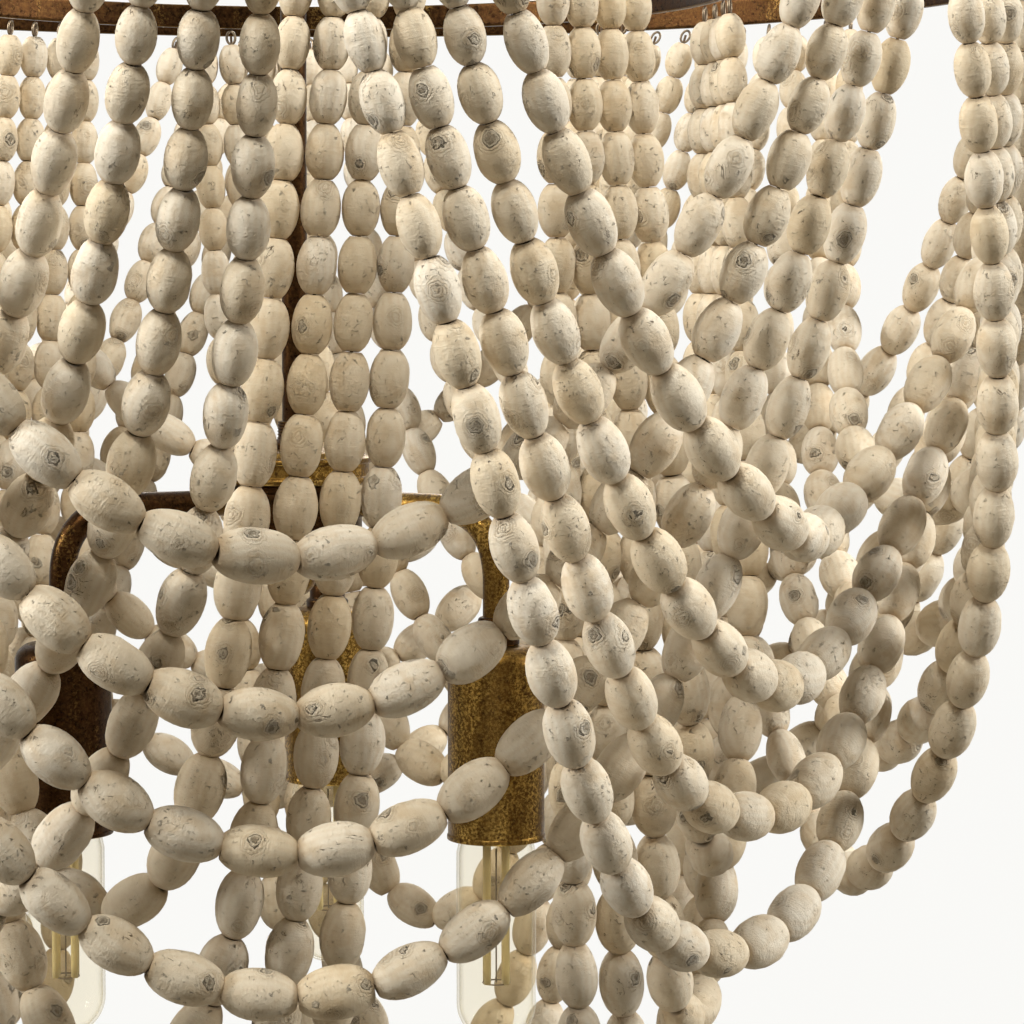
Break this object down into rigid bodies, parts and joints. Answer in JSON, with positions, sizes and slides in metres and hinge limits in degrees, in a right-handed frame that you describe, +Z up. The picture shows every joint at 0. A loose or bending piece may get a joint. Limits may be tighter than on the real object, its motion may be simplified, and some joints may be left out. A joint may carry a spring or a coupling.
{
  "type": "beaded chandelier",
  "caption": "Chain-hung brass candelabra with down-facing tube lamps inside a curtain of nested, crossing swags of whitewashed wooden beads on a two-hoop frame.",
  "frame": {"origin": "middle of the mounting bar's top face, where it lies on the ceiling", "axes": "+Z up out of the ceiling face, -Y towards the pictured side, +X to its right"},
  "size_m": [0.6072, 0.6072, 0.7626],
  "materials": {
    "aged_brass": "antique brass, brown patina rubbed to gold on the edges, satin",
    "dark_brass": "dark antique brass, heavy brown patina, satin",
    "zinc_steel": "zinc-plated steel",
    "phenolic": "black moulded phenolic, matte",
    "base_brass": "plain rolled brass screw shell",
    "clear_glass": "clear blown glass",
    "filament_wire": "fine carbon wire, warm gold, on a clear glass mount stem",
    "whitewashed_wood": "whitewashed turned wood, chalky and matte, with tan grain, knots and small chips"
  },
  "bodies": {
    "ceiling_mount": {"mounting_bar": "zinc_steel", "box_screw_left": "zinc_steel", "box_screw_right": "zinc_steel", "canopy": "dark_brass", "threaded_nipple": "zinc_steel", "canopy_screw_eye": "dark_brass"},
    "link_1": {"chain_link_1": "dark_brass"},
    "link_2": {"chain_link_2": "dark_brass"},
    "link_3": {"chain_link_3": "dark_brass"},
    "fixture": {"stem_screw_eye": "aged_brass", "stem": "aged_brass", "frame_spider": "aged_brass", "outer_ring": "aged_brass", "inner_ring": "aged_brass", "stem_collar": "dark_brass", "hub_cap": "aged_brass", "hub_body": "dark_brass", "bottom_finial": "aged_brass", "arm_1": "aged_brass", "socket_nut_1": "dark_brass", "socket_cup_1": "aged_brass", "lampholder_1": "phenolic", "arm_2": "aged_brass", "socket_nut_2": "dark_brass", "socket_cup_2": "aged_brass", "lampholder_2": "phenolic", "arm_3": "aged_brass", "socket_nut_3": "dark_brass", "socket_cup_3": "aged_brass", "lampholder_3": "phenolic", "swag_upper_1": "whitewashed_wood", "swag_lower_1": "whitewashed_wood", "swag_upper_2": "whitewashed_wood", "swag_lower_2": "whitewashed_wood", "swag_upper_3": "whitewashed_wood", "swag_lower_3": "whitewashed_wood", "swag_upper_4": "whitewashed_wood", "swag_lower_4": "whitewashed_wood", "swag_upper_5": "whitewashed_wood", "swag_lower_5": "whitewashed_wood", "swag_upper_6": "whitewashed_wood", "swag_lower_6": "whitewashed_wood", "swag_upper_7": "whitewashed_wood", "swag_lower_7": "whitewashed_wood", "swag_upper_8": "whitewashed_wood", "swag_lower_8": "whitewashed_wood", "inner_loop_1": "whitewashed_wood", "inner_loop_2": "whitewashed_wood", "inner_loop_3": "whitewashed_wood", "inner_loop_4": "whitewashed_wood"},
    "bulb_1": {"bulb_base_1": "base_brass", "bulb_glass_1": "clear_glass", "bulb_filament_1": "filament_wire"},
    "bulb_2": {"bulb_base_2": "base_brass", "bulb_glass_2": "clear_glass", "bulb_filament_2": "filament_wire"},
    "bulb_3": {"bulb_base_3": "base_brass", "bulb_glass_3": "clear_glass", "bulb_filament_3": "filament_wire"}
  },
  "joints": [
    {"name": "canopy_eye_swing", "type": "hinge", "parent": "ceiling_mount", "child": "link_1", "pos_m": [0, 0, -0.0643], "axis": [1, 0, 0], "range_deg": [-20, 20]},
    {"name": "upper_link_swing", "type": "hinge", "parent": "link_1", "child": "link_2", "pos_m": [0, 0, -0.0896], "axis": [0, 1, 0], "range_deg": [-20, 20]},
    {"name": "lower_link_swing", "type": "hinge", "parent": "link_2", "child": "link_3", "pos_m": [0, 0, -0.1151], "axis": [1, 0, 0], "range_deg": [-20, 20]},
    {"name": "stem_eye_swing", "type": "hinge", "parent": "link_3", "child": "fixture", "pos_m": [0, 0, -0.1406], "axis": [0, 1, 0], "range_deg": [-20, 20]},
    {"name": "bulb_1_turn", "type": "hinge", "parent": "fixture", "child": "bulb_1", "pos_m": [-0.08807, -0.03558, -0.5213], "axis": [0, 0, -1], "range_deg": [0, 360]},
    {"name": "bulb_2_turn", "type": "hinge", "parent": "fixture", "child": "bulb_2", "pos_m": [0.07485, -0.05848, -0.5213], "axis": [0, 0, -1], "range_deg": [0, 360]},
    {"name": "bulb_3_turn", "type": "hinge", "parent": "fixture", "child": "bulb_3", "pos_m": [0.01322, 0.09406, -0.5213], "axis": [0, 0, -1], "range_deg": [0, 360]}
  ]
}
